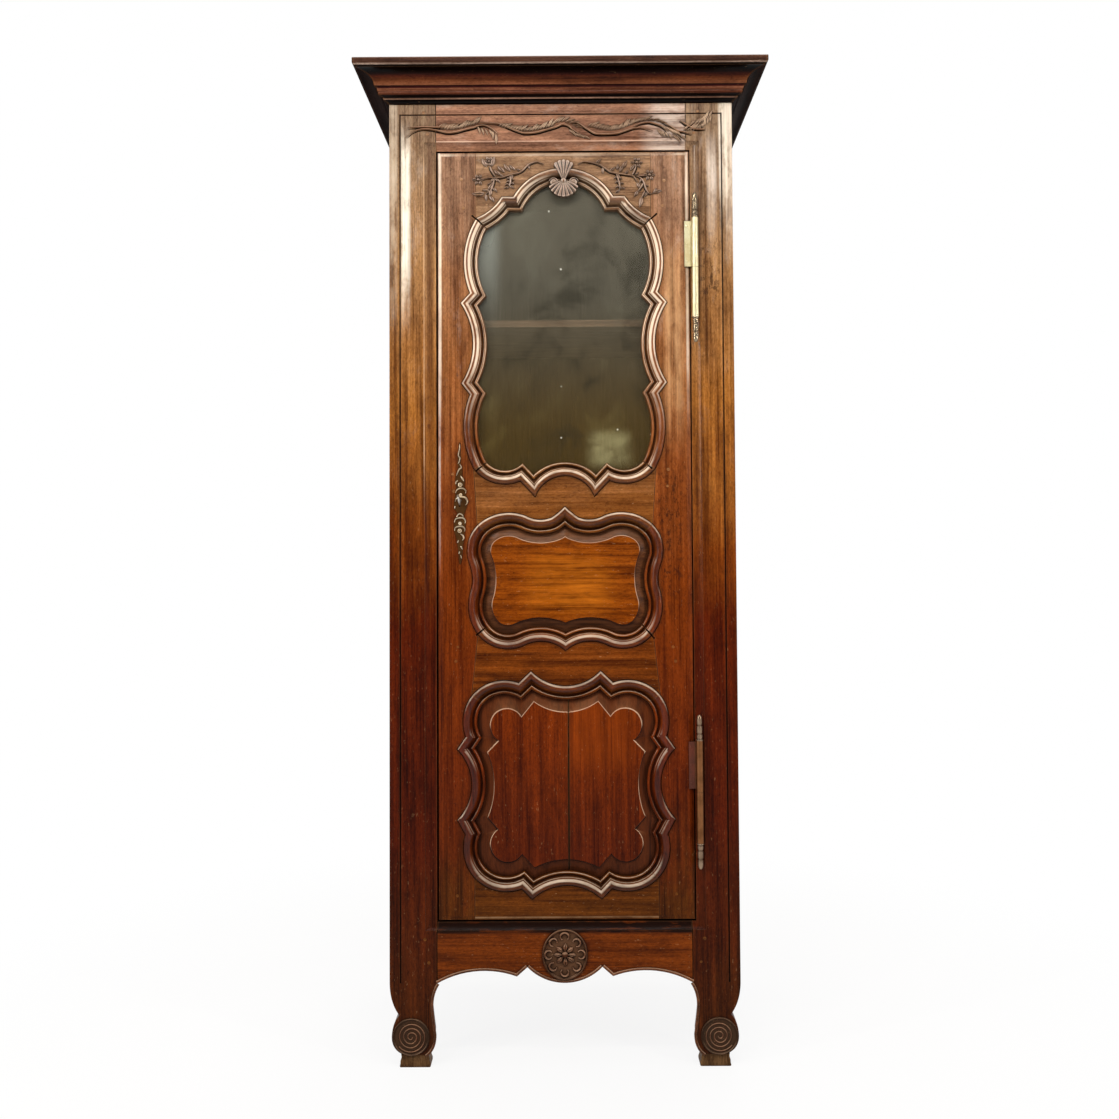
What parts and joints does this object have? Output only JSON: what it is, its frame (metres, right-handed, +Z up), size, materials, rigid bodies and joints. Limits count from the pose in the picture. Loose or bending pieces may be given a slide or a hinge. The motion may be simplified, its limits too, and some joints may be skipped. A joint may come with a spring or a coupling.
{
  "type": "bonnetiere cabinet",
  "caption": "Tall narrow walnut cabinet with one glazed and panelled door, pin hinges, a lock with key and bolt, inner shelves, a moulded cornice, scroll feet and a carved apron.",
  "frame": {"origin": "on the floor, under the middle of the whole box", "axes": "+Z up, the door faces -Y, +X is the viewer's right, where the hinges are"},
  "size_m": [0.866, 0.568, 2.0973],
  "materials": {
    "walnut": "waxed and polished, reddish brown",
    "dark_walnut": "waxed, dark brown",
    "panel_walnut": "waxed, figured, lighter orange brown",
    "pale_wood": "worn, unpolished",
    "inside_wood": "dry, unpolished",
    "glass": "clear old window glass",
    "brass": "aged, polished on the edges",
    "steel": "old bright iron"
  },
  "bodies": {
    "carcass": {"front_left_stile": "walnut", "front_right_stile": "walnut", "front_top_rail": "walnut", "front_bottom_rail": "walnut", "apron_medallion": "walnut", "foot_block_left": "pale_wood", "foot_block_right": "pale_wood", "cornice_front": "dark_walnut", "cornice_left": "dark_walnut", "cornice_right": "dark_walnut", "top_board": "inside_wood", "rear_left_stile": "walnut", "rear_right_stile": "walnut", "side_top_rail_left": "walnut", "side_top_rail_right": "walnut", "side_middle_rail_left": "walnut", "side_middle_rail_right": "walnut", "side_bottom_rail_left": "walnut", "side_bottom_rail_right": "walnut", "side_upper_panel_left": "walnut", "side_upper_panel_right": "walnut", "side_lower_panel_left": "walnut", "side_lower_panel_right": "walnut", "back_top_rail": "inside_wood", "back_bottom_rail": "inside_wood", "back_board_left": "inside_wood", "back_board_middle": "inside_wood", "back_board_right": "inside_wood", "floor_board": "inside_wood", "shelf_upper": "inside_wood", "shelf_middle": "inside_wood", "shelf_lower": "inside_wood", "shelf_cleat_upper_left": "inside_wood", "shelf_cleat_upper_right": "inside_wood", "shelf_cleat_middle_left": "inside_wood", "shelf_cleat_middle_right": "inside_wood", "shelf_cleat_lower_left": "inside_wood", "shelf_cleat_lower_right": "inside_wood", "hinge_upper_frame_knuckle": "brass", "hinge_upper_pin": "steel", "hinge_lower_frame_knuckle": "brass", "hinge_lower_pin": "steel", "lock_keeper": "steel"},
    "door": {"door_left_stile": "walnut", "door_right_stile": "walnut", "door_top_rail": "walnut", "door_upper_cross_rail": "walnut", "door_lower_cross_rail": "walnut", "door_bottom_rail": "walnut", "middle_panel": "panel_walnut", "lower_panel_left": "panel_walnut", "lower_panel_right": "panel_walnut", "window_pane": "glass", "glazing_bead": "walnut", "hinge_upper_door_knuckle": "brass", "hinge_lower_door_knuckle": "brass", "escutcheon": "brass", "lock_case": "steel"},
    "bolt": {"lock_bolt": "steel"},
    "key": {"key": "steel"}
  },
  "joints": [
    {"name": "door_hinge", "type": "hinge", "parent": "carcass", "child": "door", "pos_m": [0.283, -0.225, 1.1165], "axis": [0, 0, 1], "range_deg": [0, 170]},
    {"name": "key_turn", "type": "hinge", "parent": "door", "child": "key", "pos_m": [-0.217, -0.2, 1.1765], "axis": [0, -1, 0], "range_deg": [0, 360]},
    {"name": "bolt_slide", "type": "slide", "parent": "door", "child": "bolt", "axis": [-1, 0, 0], "range_m": [0, 0.016]}
  ],
  "couplings": [
    {"joint": "key_turn", "follows": "bolt_slide", "rad_per_m": 392.69}
  ]
}
